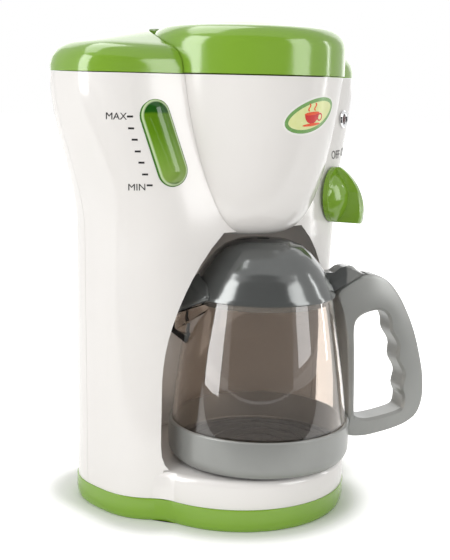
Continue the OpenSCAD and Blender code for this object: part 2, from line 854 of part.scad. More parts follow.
lid_pin_at = [52.5, 113.2];
lid_pin_r = 1.2;
lever_w = 9;
pad_w = 12;
knuckle_r = 2.7;

// Bar across the handle plane, through the lid's hinge
module lid_hinge_bar(r, w) {
    translate([lid_pin_at[0], w / 2, lid_pin_at[1]]) rotate([90, 0, 0]) cylinder(r = r, h = w);
}

module carafe_handle() color(silver) {
    in_handle_plane()
        difference() {
            handle_loop();
            // Slot for the lid's lever
            translate([25, -lever_w / 2 - 0.3, lid_pin_at[1] - knuckle_r - 0.4])
                cube([lid_pin_at[0] + knuckle_r + 0.4 - 25, lever_w + 0.6, 20]);
            lid_hinge_bar(lid_pin_r, handle_w - 1.4);
        }
}

// Two rivets that hold the handle's root to the foot cup
module handle_rivets() color(steel) {
    in_handle_plane()
        for (y = [-3.5, 3.5])
            translate([cup_inner_r + 0.1, y, 38]) rotate([0, 90, 0]) cylinder(r = 1.1, h = 4);
}

lid_dome = [[36, 107.3], [36, 108.2], [34.6, 111], [31.5, 116.8], [28, 122.2], [23.6, 127.4],
    [19, 131.2], [13, 133.6], [6, carafe_lid_top_z]];
lid_skin = 1.8;
lid_plug_r = 32.6;
lid_drip_r = 3;
// Side outlines of the lever's tongue and thumb pad
lever_tongue = [[31, 110.8], [lid_pin_at[0], lid_pin_at[1] - knuckle_r], [lid_pin_at[0] + 1, lid_pin_at[1] + 2.4],
    [48, 117], [31, 117]];
lever_pad = [[33, 109.2], [37, 108], [49.6, 115], [50.8, 115.9], [46.5, 118.3], [45.5, 118.2], [34, 111]];
lever_crown = [[33, 113], [35.2, 116], [39.6, 119.2], [44, 120.3], [46.5, 119.8], [48.1, 118.5], [50, 116]];

module side_plate(outline, w) {
    translate([0, w / 2, 0]) rotate([90, 0, 0]) linear_extrude(height = w) polygon(outline);
}

// Hood over the pouring lip
module lid_beak() {
    difference() {
        hull() {
            translate([-spout_reach + 1.6, 0, spout_tip_z + 2.6]) sphere(r = 1.9, $fn = 24);
            for (s = [-1, 1]) translate([-33, s * 15, 109]) sphere(r = 1.6, $fn = 24);
            translate([-37, 0, 111.2]) sphere(r = 3.6, $fn = 24);
            translate([-29, 0, 117]) sphere(r = 3, $fn = 24);
        }
        cylinder(r = lid_dome[2][0] - lid_skin, h = 200);
        rotate([0, 0, 180 - spout_heading]) translate([0, 0, seam_gap]) spout_wedge(0, 0);
    }
}

module carafe_lid() color(silver) {
    in_handle_plane()
        difference() {
            union() {
                rotate_extrude()
                    polygon(concat(
                        lid_dome,
                        [[lid_drip_r, carafe_lid_top_z], [lid_drip_r, carafe_lid_top_z - lid_skin]],
                        [for (i = [len(lid_dome) - 1:-1:3])
                            [lid_dome[i][0] - lid_skin, lid_dome[i][1] - lid_skin]],
                        [[31.2, 108.8], [31.2, 104], [lid_plug_r, 104], [lid_plug_r, 107.3]]));
                lid_beak();
                difference() {
                    union() {
                        side_plate(lever_tongue, lever_w);
                        hull() {
                            side_plate(lever_pad, pad_w);
                            side_plate(lever_crown, pad_w - 4);
                        }
                    }
                    cylinder(r = lid_dome[3][0] - 0.5, h = 200);
                }
                lid_hinge_bar(knuckle_r, lever_w);
            }
            lid_hinge_bar(lid_pin_r + pin_gap, handle_w);
        }
}

module carafe_lid_pin() color(steel) {
    in_handle_plane() lid_hinge_bar(lid_pin_r, handle_w - 1.6);
}

base_tray();
deck();
front_shell();
rear_shell();
bay_wall();
brew_funnel();
top_cover();
level_window();
lamp_bezel();
lamp_lens();
drip_nozzle();
filter_basket();
water_tank();
feed_tube();
pump();
switch_body();
batteries();
battery_contacts();
shell_screws();
brew_lid_pin();
knob();
brew_lid();
battery_door();
carafe_glass();
carafe_cup();
carafe_handle();
handle_rivets();
carafe_lid();
carafe_lid_pin();
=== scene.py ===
# %% [markdown]
# # A toy coffee maker
# The solids of this toy come from a CAD frame, already in place and in metres. This lesson gives
# them light, a camera and finishes, and adds the thin or printed pieces that a CAD part leaves out.
# First the frame is loaded, and each part's place is baked into its own mesh.

# %% Load the frame
import math
import bpy
import bmesh
from mathutils import Matrix, Vector
from mathutils.bvhtree import BVHTree


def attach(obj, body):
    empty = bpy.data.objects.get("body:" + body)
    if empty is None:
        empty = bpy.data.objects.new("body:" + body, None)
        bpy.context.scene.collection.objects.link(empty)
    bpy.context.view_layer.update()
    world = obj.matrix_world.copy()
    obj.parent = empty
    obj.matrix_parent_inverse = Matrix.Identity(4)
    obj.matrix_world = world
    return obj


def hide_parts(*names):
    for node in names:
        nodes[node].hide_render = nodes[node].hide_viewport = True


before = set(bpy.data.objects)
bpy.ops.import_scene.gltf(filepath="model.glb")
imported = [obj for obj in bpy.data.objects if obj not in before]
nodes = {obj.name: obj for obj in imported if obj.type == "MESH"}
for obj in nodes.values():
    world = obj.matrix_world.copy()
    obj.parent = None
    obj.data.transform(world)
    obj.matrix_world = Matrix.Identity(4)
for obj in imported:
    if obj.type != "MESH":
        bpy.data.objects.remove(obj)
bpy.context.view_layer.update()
scene = bpy.context.scene
scene.view_settings.view_transform = "Standard"
MM = 0.001

# %% [markdown]
# The camera comes first, because it decides which details earn their place. It looks a little
# down on the toy from its front left, from about half a metre, through a short telephoto lens
# that keeps the upright edges nearly parallel. Turning it in three steps, heading, tilt and roll,
# keeps each angle readable.

# %% Camera
camera_place = (-0.3758, -0.3900, 0.2088)
heading_deg, down_deg, roll_deg = -43.05, 10.2, 1.3
camera_data = bpy.data.cameras.new("camera")
camera_data.lens = 70.71
camera_data.sensor_width = 36
camera_data.clip_end = 20
camera = bpy.data.objects.new("camera", camera_data)
scene.collection.objects.link(camera)
heading = Matrix.Rotation(math.radians(heading_deg), 4, "Z")
tilt = Matrix.Rotation(math.radians(90 - down_deg), 4, "X")
roll = Matrix.Rotation(math.radians(roll_deg), 4, "Z")
camera.matrix_world = Matrix.Translation(camera_place) @ heading @ tilt @ roll
scene.camera = camera
print("camera at", camera_place, "turned", heading_deg, "degrees, looking down", down_deg)

# %% [markdown]
# A material is a small network of nodes. One helper adds a node, sets its values and makes its
# links, and another turns the hex colours of a paint chart, which are sRGB, into the linear
# numbers that Blender's shaders expect. Pattern sizes are given in millimetres, and a noise
# texture counts its blobs per metre, so a third helper turns one into the other.

# %% Helpers for materials
def linear(hex_colour, alpha=1.0):
    values = [int(hex_colour[i:i + 2], 16) / 255 for i in (1, 3, 5)]
    return [v / 12.92 if v <= 0.04045 else ((v + 0.055) / 1.055) ** 2.4 for v in values] + [alpha]


def add(tree, kind, inputs=None, **settings):
    made = tree.nodes.new(kind)
    for key, value in settings.items():
        setattr(made, key, value)
    for key, value in (inputs or {}).items():
        if isinstance(value, bpy.types.NodeSocket):
            tree.links.new(value, made.inputs[key])
        else:
            made.inputs[key].default_value = value
    return made


def per_metre(size_mm):
    return 1000.0 / size_mm


# %% [markdown]
# Nearly every piece of this toy is ABS or polystyrene, injected into a steel mould. Such a surface
# is never one even colour: the pigment flows into faint clouds, the gloss changes a little from
# place to place, and the mould's own polish leaves a very shallow orange peel. One recipe makes
# all of these plastics, and each gets its own pair of tints, its gloss and the size of its clouds.

# %% Recipe for moulded plastic
least_rough, most_rough = 0.8, 1.25


def moulded_plastic(name, tint, second_tint, roughness, ior=1.53, cloud_mm=40, peel_mm=1.6,
                    peel_depth_mm=0.012, transmission=0.0, metallic=0.0):
    material = bpy.data.materials.new(name)
    material.use_nodes = True
    tree = material.node_tree
    shader = tree.nodes["Principled BSDF"]
    shader.inputs["IOR"].default_value = ior
    shader.inputs["Metallic"].default_value = metallic
    shader.inputs["Transmission Weight"].default_value = transmission
    place = add(tree, "ShaderNodeTexCoord").outputs["Object"]
    clouds = add(tree, "ShaderNodeTexNoise",
                 {"Vector": place, "Scale": per_metre(cloud_mm), "Detail": 3.0, "Roughness": 0.55})
    colour = add(tree, "ShaderNodeMix",
                 {0: clouds.outputs["Fac"], 6: linear(tint), 7: linear(second_tint)},
                 data_type="RGBA")
    tree.links.new(colour.outputs[2], shader.inputs["Base Color"])
    gloss = add(tree, "ShaderNodeMapRange",
                {"Value": clouds.outputs["Fac"], "To Min": roughness * least_rough,
                 "To Max": roughness * most_rough})
    tree.links.new(gloss.outputs["Result"], shader.inputs["Roughness"])
    peel = add(tree, "ShaderNodeTexNoise",
               {"Vector": place, "Scale": per_metre(peel_mm), "Detail": 1.0})
    bump = add(tree, "ShaderNodeBump",
               {"Height": peel.outputs["Fac"], "Strength": 1.0, "Distance": peel_depth_mm * MM})
    tree.links.new(bump.outputs["Normal"], shader.inputs["Normal"])
    return material


# %% [markdown]
# The white and green parts come from mirror-polished moulds. The silver ones are ABS with
# aluminium flake, and a little metallic weight stands for the flake, because it tints the
# reflections with the plastic's own grey. The flake is far too fine to see, so its unevenness is
# drawn 6 to 15 mm coarse. The parts inside are plainer plastics with a duller skin.

# %% Plastics of the housing
# A polished mould gives these two sharp, bright reflections over an even ground.
white_abs = moulded_plastic("moulded gloss ABS, warm white", "#F0EDEA", "#EBE7E3", 0.16)
green_abs = moulded_plastic("moulded gloss ABS, leaf green", "#83AC38", "#7CA431", 0.14,
                            cloud_mm=30)


# A finely blasted mould spreads each reflection into a satin sheen.
def satin_silver(name):
    return moulded_plastic(name, "#999A97", "#8F908D", 0.3, cloud_mm=15, peel_mm=6,
                           peel_depth_mm=0.01, metallic=0.2)


silver_abs = satin_silver("satin silver ABS")
# The same plastic, polished, mirrors its surroundings almost like metal, and its darker tint is
# painted shade.
silver_gloss_shaded = moulded_plastic("gloss silver ABS, painted shade", "#696B6A", "#606261", 0.14, cloud_mm=15,
                               peel_mm=9, peel_depth_mm=0.008, metallic=0.45)
# Polypropylene looks waxy, and nylon matt and nearly black.
grey_inner = moulded_plastic("grey polypropylene", "#8A8B8C", "#7D7E80", 0.45)
black_inner = moulded_plastic("black nylon", "#1B1B1D", "#242426", 0.5)
print("housing plastics ready")

# %% [markdown]
# The inside of the carafe's cup is painted darker than the outside, as painted shade, and faint
# light and dark rings round the carafe's axis are painted over it, as painted reflections. The
# distance from that axis, read off the Object coordinates, sets both, so no second material is
# needed.

# %% Cup, painted darker inside
carafe_axis_mm = (0.0, -14.5)
cup_inner_mm = 42.5
ring_mm = 5
blend_mm = 0.2


def from_axis(tree, axis_mm):
    place = add(tree, "ShaderNodeTexCoord").outputs["Object"]
    level = add(tree, "ShaderNodeVectorMath", {0: place, 1: (1, 1, 0)}, operation="MULTIPLY")
    axis = Vector((axis_mm[0], axis_mm[1], 0)) * MM
    return add(tree, "ShaderNodeVectorMath", {0: level.outputs[0], 1: axis},
               operation="DISTANCE").outputs["Value"]


def cup_with_painted_shade(axis_mm, inner_mm):
    material = satin_silver("satin silver ABS, painted shade and ring reflections inside")
    tree = material.node_tree
    shader = tree.nodes["Principled BSDF"]
    outside_tint = shader.inputs["Base Color"].links[0].from_socket
    radius = from_axis(tree, axis_mm)
    # Painted reflections: faint light and dark rings round the axis.
    wave = add(tree, "ShaderNodeMath", {0: radius, 1: 2 * math.pi / (ring_mm * MM)},
               operation="MULTIPLY")
    rings = add(tree, "ShaderNodeMath", {0: wave.outputs[0]}, operation="SINE")
    tone = add(tree, "ShaderNodeMapRange", {"Value": rings.outputs[0], "From Min": -1.0})
    # The inside of the cup is painted dark, as painted shade.
    painted_shade_tint = add(tree, "ShaderNodeMix",
                     {0: tone.outputs["Result"], 6: linear("#34373A"), 7: linear("#4A4C4D")},
                     data_type="RGBA")
    outer = add(tree, "ShaderNodeMapRange",
                {"Value": radius, "From Min": (inner_mm - blend_mm) * MM,
                 "From Max": (inner_mm + blend_mm) * MM}, clamp=True)
    tint = add(tree, "ShaderNodeMix",
               {0: outer.outputs["Result"], 6: painted_shade_tint.outputs[2], 7: outside_tint},
               data_type="RGBA")
    tree.links.new(tint.outputs[2], shader.inputs["Base Color"])
    return material


silver_cup = cup_with_painted_shade(carafe_axis_mm, cup_inner_mm)
print("cup finish ready")

# %% [markdown]
# The dome of the carafe's lid is polished, and its darker tint is painted shade under the brew
# head, while its lever keeps the light grey of the handle. Both are one moulding, so the distance
# from the same axis parts the two tones.

# %% Painted shade on the lid's dome
dome_end_mm, lever_start_mm = 42.5, 43.5
tree = silver_gloss_shaded.node_tree
shader = tree.nodes["Principled BSDF"]
dome_painted_shade = shader.inputs["Base Color"].links[0].from_socket
on_lever = add(tree, "ShaderNodeMapRange",
               {"Value": from_axis(tree, carafe_axis_mm), "From Min": dome_end_mm * MM,
                "From Max": lever_start_mm * MM}, clamp=True)
# The dome keeps its painted shade, and the lever gets the handle's own grey.
lever_tint = add(tree, "ShaderNodeMix",
                 {0: on_lever.outputs["Result"], 6: dome_painted_shade, 7: linear("#9A9B98")},
                 data_type="RGBA")
tree.links.new(lever_tint.outputs[2], shader.inputs["Base Color"])
print("lid finish ready")

# %% [markdown]
# The carafe is clear polystyrene with a smoke tint. Light crosses two of its skins before it
# reaches the white bay behind and two more on the way back, so a mild tint already reads as
# brown glass. Polystyrene bends light more than acrylic does, hence the IOR of 1.59. Rays from a
# lamp can't find their way through a bending wall in Cycles, so for those rays alone a clear film
# of nearly the same tint stands in, and the bay behind the carafe is lit as in a real toy.

# %% Clear plastics
def let_lamps_through(material, tint):
    tree = material.node_tree
    rays = add(tree, "ShaderNodeLightPath")
    film = add(tree, "ShaderNodeBsdfTransparent", {"Color": linear(tint)})
    either = add(tree, "ShaderNodeMixShader",
                 {0: rays.outputs["Is Shadow Ray"], 1: tree.nodes["Principled BSDF"].outputs[0],
                  2: film.outputs[0]})
    tree.links.new(either.outputs[0], tree.nodes["Material Output"].inputs["Surface"])
    return material


# Polished inside and out, this one shows crisp streaks and bends what lies behind it.
smoke_clear = let_lamps_through(
    moulded_plastic("clear polystyrene, smoke tint", "#ECE4DD", "#E8DFD7", 0.015, ior=1.59,
                    cloud_mm=60, peel_mm=25, peel_depth_mm=0.02, transmission=1.0), "#F8F5F2")
# Only some light passes this lens, so that the lamp looks dark while it is off.
red_clear = moulded_plastic("clear acrylic, dark red", "#5A2A26", "#47201D", 0.1, ior=1.49,
                            cloud_mm=2, transmission=0.3)
# A blasted mould leaves the tank milky, with hardly a reflection.
tank_clear = moulded_plastic("frosted polypropylene", "#DDE3E5", "#D2D9DC", 0.4, transmission=0.5)
print("clear plastics ready")

# %% [markdown]
# The level window is one thick lens of clear green. Over the opening in the housing it shows the
# toy's pretend water. Round that lies a pale band, a painted highlight where the lens's edge
# catches light, and the very edge is a dark green line, a painted shadow in the gap to the housing.
# The lens is a stadium form, so the distance from its middle line, as a share of its half width,
# tells the three zones apart: a Mapping node lays the pattern's own axes on the leaning lens, and a
# few sums give that share. The helper for those axes is used again later, for whatever faces out of
# a wall.

# %% Zones of the level window
window_centre = Vector((-57.402, -7.082, 181.2)) * MM
window_out = Vector((-0.2393, -0.9692, 0.0577))
window_half_w = 7.5 * MM
window_half_line = 13.0 * MM
window_lean = math.radians(19)


def facing(out):
    right = Vector((0, 0, 1)).cross(out).normalized()
    return Matrix((right, out.cross(right), out)).transposed()


def share_of_width(tree, place):
    turn = facing(window_out) @ Matrix.Rotation(window_lean, 3, "Z")
    own = add(tree, "ShaderNodeMapping",
              {"Vector": place, "Location": window_centre, "Rotation": turn.to_euler()},
              vector_type="TEXTURE")
    axes = add(tree, "ShaderNodeSeparateXYZ", {0: own.outputs[0]})
    along = add(tree, "ShaderNodeMath", {0: axes.outputs["Y"]}, operation="ABSOLUTE")
    past = add(tree, "ShaderNodeMath", {0: along.outputs[0], 1: window_half_line},
               operation="SUBTRACT")
    beyond = add(tree, "ShaderNodeMath", {0: past.outputs[0], 1: 0.0}, operation="MAXIMUM")
    flat = add(tree, "ShaderNodeCombineXYZ", {"X": axes.outputs["X"], "Y": beyond.outputs[0]})
    distance = add(tree, "ShaderNodeVectorMath", {0: flat.outputs[0]}, operation="LENGTH")
    return add(tree, "ShaderNodeMath", {0: distance.outputs["Value"], 1: window_half_w},
               operation="DIVIDE").outputs[0]


# %% [markdown]
# The pretend water is leaf green, and over the height it carries painted shade and light: dark
# green above its line, where the empty tank lies in shade, paler towards the foot, and a thin dark
# line at the very foot. A colour ramp over the height holds those tints. A little noise is added to
# the height first, so that the line isn't ruled straight.

# %% Water with painted shade and light in the level window
water_foot, water_top = 163 * MM, 200 * MM
ripple_mm, ripple = 5, 0.6 * MM
# Painted shade at the top and a thin dark line at the foot, and painted light paler towards the
# foot.
water_and_shade_tints = [(0.0, "#43652C"), (0.03, "#86A350"), (0.3, "#769B3A"), (0.62, "#5D8717"),
               (0.84, "#577F12"), (0.87, "#1F5512"), (1.0, "#1B4D16")]


def water_with_painted_shade(tree, place):
    height = add(tree, "ShaderNodeSeparateXYZ", {0: place}).outputs["Z"]
    clouds = add(tree, "ShaderNodeTexNoise",
                 {"Vector": place, "Scale": per_metre(ripple_mm), "Detail": 2.0})
    wander = add(tree, "ShaderNodeMapRange",
                 {"Value": clouds.outputs["Fac"], "To Min": -ripple, "To Max": ripple})
    level = add(tree, "ShaderNodeMath", {0: height, 1: wander.outputs["Result"]}, operation="ADD")
    water = add(tree, "ShaderNodeMapRange",
                {"Value": level.outputs[0], "From Min": water_foot, "From Max": water_top})
    shaded_water = add(tree, "ShaderNodeValToRGB", {0: water.outputs["Result"]})
    stops = shaded_water.color_ramp.elements
    while len(stops) < len(water_and_shade_tints):
        stops.new(1.0)
    for stop, (position, tint) in zip(stops, water_and_shade_tints):
        stop.position = position
        stop.color = linear(tint)
    return shaded_water.outputs["Color"]


# %% [markdown]
# The lens starts from the same moulded plastic as the rest, polished. The water is its ground, and
# the pale band of painted highlight and the dark green edge of painted shadow are laid over it,
# each beyond its own share of the half width. The IOR was lowered from polystyrene's 1.59 until the
# lamps drew only faint streaks on the lens.

# %% Finish of the level window
# A pale band of painted highlight, then a dark green edge of painted shadow.
painted_rim_highlight_and_shadow = [(0.78, 0.86, "#BFD3A4"), (0.91, 0.95, "#3F7024")]


def level_window_finish():
    material = moulded_plastic("clear polystyrene, green lens", "#FFFFFF", "#FFFFFF", 0.05,
                               ior=1.42, cloud_mm=6, peel_mm=7, peel_depth_mm=0.04)
    tree = material.node_tree
    place = add(tree, "ShaderNodeTexCoord").outputs["Object"]
    share = share_of_width(tree, place)
    colour = water_with_painted_shade(tree, place)
    for start, end, tint in painted_rim_highlight_and_shadow:
        zone = add(tree, "ShaderNodeMapRange",
                   {"Value": share, "From Min": start, "From Max": end}, clamp=True)
        colour = add(tree, "ShaderNodeMix",
                     {0: zone.outputs["Result"], 6: colour, 7: linear(tint)},
                     data_type="RGBA").outputs[2]
    tree.links.new(colour, tree.nodes["Principled BSDF"].inputs["Base Color"])
    return material


window_green = level_window_finish()
print("level window finish ready")

# %% [markdown]
# The few metal pieces are zinc-plated steel, which is grey and slightly streaked, and the bezel of
# the lamp is plastic with a chrome plating. A metal has no base gloss colour of its own besides
# its tint, so the metallic value is 1 and the IOR stays at its default. The film round a battery
# is printed plastic, with no more than a soft shine.

# %% Metals and battery film
smooth_streak, rough_streak = 0.7, 1.4


def plated_metal(name, tint, roughness, streak_mm):
    material = bpy.data.materials.new(name)
    material.use_nodes = True
    tree = material.node_tree
    shader = tree.nodes["Principled BSDF"]
    shader.inputs["Metallic"].default_value = 1.0
    shader.inputs["Base Color"].default_value = linear(tint)
    place = add(tree, "ShaderNodeTexCoord").outputs["Object"]
    streaks = add(tree, "ShaderNodeTexNoise",
                  {"Vector": place, "Scale": per_metre(streak_mm), "Detail": 4.0})
    gloss = add(tree, "ShaderNodeMapRange",
                {"Value": streaks.outputs["Fac"], "To Min": roughness * smooth_streak,
                 "To Max": roughness * rough_streak})
    tree.links.new(gloss.outputs["Result"], shader.inputs["Roughness"])
    return material


# Chrome mirrors clearly, and zinc blurs what it mirrors.
chrome = plated_metal("chrome-plated ABS", "#D9DADB", 0.12, 3)
zinc = plated_metal("zinc-plated steel", "#B9BABB", 0.3, 1.5)
cell_film = moulded_plastic("printed battery film", "#23302A", "#2C3A33", 0.3)
print("metals ready")

# %% [markdown]
# A CAD part arrives as loose triangles with hard edges. Its mesh stays as it is, but modifiers may
# weld the triangles, and a smooth shading that breaks only at real corners hides the facets of the
# curved walls. Moulded corners are never knife sharp, so a small bevel goes on where it catches
# light. The same function gives each part its finish.

# %% Dress the CAD parts
corner_deg, bevel_from_deg = 34, 40


def split_corners(part, degrees):
    split = part.modifiers.new("corners", "EDGE_SPLIT")
    split.split_angle = math.radians(degrees)


def dress(name, material, bevel_mm=0.0):
    part = nodes[name]
    for slot in part.material_slots:
        slot.material = material
    for face in part.data.polygons:
        face.use_smooth = True
    weld = part.modifiers.new("weld", "WELD")
    weld.merge_threshold = 0.01 * MM
    if bevel_mm:
        bevel = part.modifiers.new("soft corners", "BEVEL")
        bevel.width = bevel_mm * MM
        bevel.segments = 2
        bevel.limit_method = "ANGLE"
        bevel.angle_limit = math.radians(bevel_from_deg)
        bevel.harden_normals = False
    split_corners(part, corner_deg)


finishes = {
    "front_shell": white_abs, "rear_shell": white_abs, "bay_wall": white_abs, "deck": white_abs,
    "brew_funnel": white_abs, "base_tray": green_abs, "top_cover": green_abs,
    "brew_lid": green_abs, "battery_door": green_abs, "knob": green_abs,
    "carafe_cup": silver_cup, "carafe_lid": silver_gloss_shaded, "carafe_handle": silver_abs,
    "carafe_glass": smoke_clear, "level_window": window_green, "lamp_bezel": chrome,
    "lamp_lens": red_clear, "drip_nozzle": grey_inner, "filter_basket": grey_inner,
    "water_tank": tank_clear, "feed_tube": tank_clear, "pump": black_inner,
    "switch_body": black_inner, "batteries": cell_film, "battery_contacts": zinc,
    "shell_screws": zinc, "brew_lid_pin": zinc, "handle_rivets": zinc, "carafe_lid_pin": zinc,
}
soft_mm = {"knob": 0.5, "deck": 1.5, "base_tray": 0.4, "carafe_cup": 0.4}
for name, material in finishes.items():
    dress(name, material, bevel_mm=soft_mm.get(name, 0.0))
print("dressed", len(finishes), "parts")

# %% [markdown]
# A new piece starts as a bmesh, a mesh that is still open to edits, and becomes an object at the
# end. One helper does that last step for all of them. Another bends a flat grid: it is made with
# as many points as there are places in the rows, and then each point moves to its place. The last
# gives the move that carries a drawing in millimetres to its place on a wall.

# %% Helpers for new pieces
def new_piece(name, shape, materials, smooth=False):
    for face in shape.faces:
        face.smooth = smooth
    mesh = bpy.data.meshes.new(name)
    shape.to_mesh(mesh)
    shape.free()
    for material in materials:
        mesh.materials.append(material)
    piece = bpy.data.objects.new(name, mesh)
    scene.collection.objects.link(piece)
    print("made", name, "faces:", len(mesh.polygons))
    return piece


def bent_grid(rows):
    shape = bmesh.new()
    bmesh.ops.create_grid(shape, x_segments=len(rows[0]) - 1, y_segments=len(rows) - 1, size=0.5)
    for vert, place in zip(shape.verts, [place for row in rows for place in row]):
        vert.co = place
    return shape


def onto_wall(centre_mm, out, turn_deg=0.0):
    return (Matrix.Translation(Vector(centre_mm) * MM) @ facing(out).to_4x4()
            @ Matrix.Rotation(math.radians(turn_deg), 4, "Z") @ Matrix.Scale(MM, 4))


# %% [markdown]
# Words, marks and the sticker are flat work: each is drawn on the XY plane in millimetres, as on a
# sheet of paper, and then wrapped on its wall. Wrapping a flat shape on a curved wall needs
# enough points, so the drawing is first sliced into small tiles. A ray from each point finds the
# wall, and the point settles a tenth of a millimetre above it. The tree that answers such rays
# quickly is built once per wall from the CAD mesh, which itself isn't touched.

# %% Helpers for printed pieces
tile_mm = 1.2
film_mm = 0.08
ray_start_mm = 30


def skin_of(name):
    mesh = nodes[name].data
    return BVHTree.FromPolygons([nodes[name].matrix_world @ v.co for v in mesh.vertices],
                                [tuple(p.vertices) for p in mesh.polygons])


def slice_finely(shape):
    xs = [v.co.x for v in shape.verts]
    ys = [v.co.y for v in shape.verts]
    for axis, low, high in ((Vector((1, 0, 0)), min(xs), max(xs)),
                            (Vector((0, 1, 0)), min(ys), max(ys))):
        cut = low + tile_mm
        while cut < high:
            bmesh.ops.bisect_plane(shape, geom=shape.verts[:] + shape.edges[:] + shape.faces[:],
                                   plane_co=axis * cut, plane_no=axis)
            cut += tile_mm


def wrap(name, shape, skin, centre_mm, out, materials, turn_deg=0.0, lift_mm=0.1):
    slice_finely(shape)
    out = Vector(out).normalized()
    to_wall = onto_wall(centre_mm, out, turn_deg)
    for vert in shape.verts:
        start = to_wall @ vert.co
        hit = skin.ray_cast(start + out * ray_start_mm * MM, -out)[0]
        vert.co = hit + out * lift_mm * MM
    bmesh.ops.recalc_face_normals(shape, faces=shape.faces)
    if sum(face.normal.dot(out) for face in shape.faces) < 0:
        bmesh.ops.reverse_faces(shape, faces=shape.faces)
    piece = new_piece(name, shape, materials)
    film = piece.modifiers.new("film", "SOLIDIFY")
    film.thickness = film_mm * MM
    film.offset = -1
    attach(piece, "housing")


# %% [markdown]
# The water marks are pad-printed in black: seven short bars that follow the leaning window, with
# a word at the first and the last. Pad ink is matt and dense, and it dries with a soft grain.
# The words are text objects made a mesh, since a font already has well-drawn letters. A small
# offset thickens the two words by the knob; it would close up the smaller letters of the others.

# %% Water marks and switch words
# Pad ink dries matt, so it shows no lamp.
ink = moulded_plastic("black pad-printing ink", "#1D1A1B", "#2A2627", 0.5, cloud_mm=1.5)
grey_ink = moulded_plastic("grey pad-printing ink", "#4A4846", "#5A5856", 0.5, cloud_mm=1.5)
cap_share = 0.73  # the height of a capital letter, as a share of the font's size


def lettering(words, cap_height, weight=0.0):
    curve = bpy.data.curves.new(words, "FONT")
    curve.body = words
    curve.size = cap_height / cap_share
    curve.align_x = "CENTER"
    curve.align_y = "CENTER"
    curve.offset = weight
    curve.resolution_u = 3
    holder = bpy.data.objects.new(words, curve)
    scene.collection.objects.link(holder)
    depsgraph = bpy.context.evaluated_depsgraph_get()
    mesh = bpy.data.meshes.new_from_object(holder.evaluated_get(depsgraph))
    shape = bmesh.new()
    shape.from_mesh(mesh)
    bmesh.ops.remove_doubles(shape, verts=shape.verts, dist=0.001)
    bpy.data.objects.remove(holder)
    bpy.data.meshes.remove(mesh)
    return shape


def bar(length, height):
    shape = bmesh.new()
    bmesh.ops.create_grid(shape, x_segments=2, y_segments=1, size=0.5)
    bmesh.ops.scale(shape, vec=(length, height, 1), verts=shape.verts)
    return shape


shell_skin = skin_of("front_shell")
marks = [(-72.6, -1.6, 192.9), (-72.0, -1.6, 187.7), (-70.4, -2.2, 182.7), (-69.0, -2.7, 177.5),
         (-67.3, -3.3, 172.5), (-65.6, -3.8, 167.2), (-63.6, -4.7, 162.3)]
for number, centre in enumerate(marks, 1):
    wrap(f"water_mark_{number}", bar(length=2.7, height=0.85), shell_skin, centre,
         (-0.47, -0.88, -0.05), [ink])
words = [
    ("word_max", lettering("MAX", 3.2), (-77.9, 1.6, 192.8), (-0.52, -0.85, -0.05), 0, ink),
    ("word_min", lettering("MIN", 3.2), (-68.0, -1.0, 161.2), (-0.44, -0.89, -0.05), 3, ink),
    ("word_off", lettering("OFF", 4.4, 0.06), (59.0, -7.0, 172.6), (0.36, -0.93, 0.02), 0,
     grey_ink),
    ("word_on", lettering("ON", 4.4, 0.06), (71.0, -1.5, 173.4), (0.5, -0.87, 0.02), 0,
     grey_ink),
]
for name, letters, centre, out, turn_deg, paint in words:
    wrap(name, letters, shell_skin, centre, out, [paint], turn_deg=turn_deg)

# %% [markdown]
# A vinyl sticker brightens the brew head: an oval that climbs to the right, with a white cut edge,
# a green ring and a pale field. Rings come from insetting a disc, which keeps every ring one tidy
# band of faces, and each band gets its own print colour.

# %% Sticker
# Printed vinyl has a soft shine, and its ink clouds a little over a few millimetres.
def vinyl(name, tint, second_tint):
    return moulded_plastic("printed vinyl, " + name, tint, second_tint, 0.25, ior=1.5,
                           cloud_mm=4, peel_mm=3, peel_depth_mm=0.01)


vinyl_white = vinyl("white", "#F6F4F0", "#F2F0EA")
vinyl_green = vinyl("ring green", "#7FAE62", "#6E9E58")
vinyl_field = vinyl("pale lime", "#DCE48C", "#EEF0BC")
vinyl_orange = vinyl("orange", "#F05A22", "#E84E1C")
vinyl_red = vinyl("red", "#D8201C", "#C81A1A")


def disc(radius, segments=64):
    shape = bmesh.new()
    bmesh.ops.create_circle(shape, cap_ends=True, segments=segments, radius=radius)
    return shape


def oval_plate(half_long, half_short, bands):
    shape = disc(1.0)
    bmesh.ops.scale(shape, vec=(half_long, half_short, 1), verts=shape.verts)
    inner = shape.faces[:]
    for number, width in enumerate(bands):
        made = bmesh.ops.inset_region(shape, faces=inner, thickness=width, use_boundary=True,
                                      use_even_offset=True)
        for face in made["faces"]:
            face.material_index = number
        for face in inner:
            face.material_index = number + 1
    return shape


head_skin = skin_of("brew_funnel")
sticker_at = (0.2, -46.0, 194.4)
sticker_out = (0.0, -0.995, -0.1)
wrap("sticker", oval_plate(16.6, 8.3, bands=[0.9, 1.7]), head_skin, sticker_at, sticker_out,
     [vinyl_white, vinyl_green, vinyl_field], turn_deg=17)


# %% [markdown]
# A steaming cup in orange and red fills the sticker's field. It is put together from simple
# shapes: its bowl is a disc cut in half, its handle a ring, its brim and saucer flattened discs,
# and its steam two wavy ribbons. Where two of them overlap, one lies a few hundredths of a
# millimetre above the other, because two films on the same surface would flicker.

# %% Motif on the sticker
def bowl(radius):
    shape = disc(radius, 48)
    bmesh.ops.bisect_plane(shape, geom=shape.verts[:] + shape.edges[:] + shape.faces[:],
                           plane_co=(0, 0, 0), plane_no=(0, 1, 0), clear_outer=True)
    return shape


def ring(radius, width):
    shape = disc(radius, 32)
    core = shape.faces[:]
    bmesh.ops.inset_region(shape, faces=core, thickness=width, use_boundary=True,
                           use_even_offset=True)
    bmesh.ops.delete(shape, geom=core, context="FACES_ONLY")
    return shape


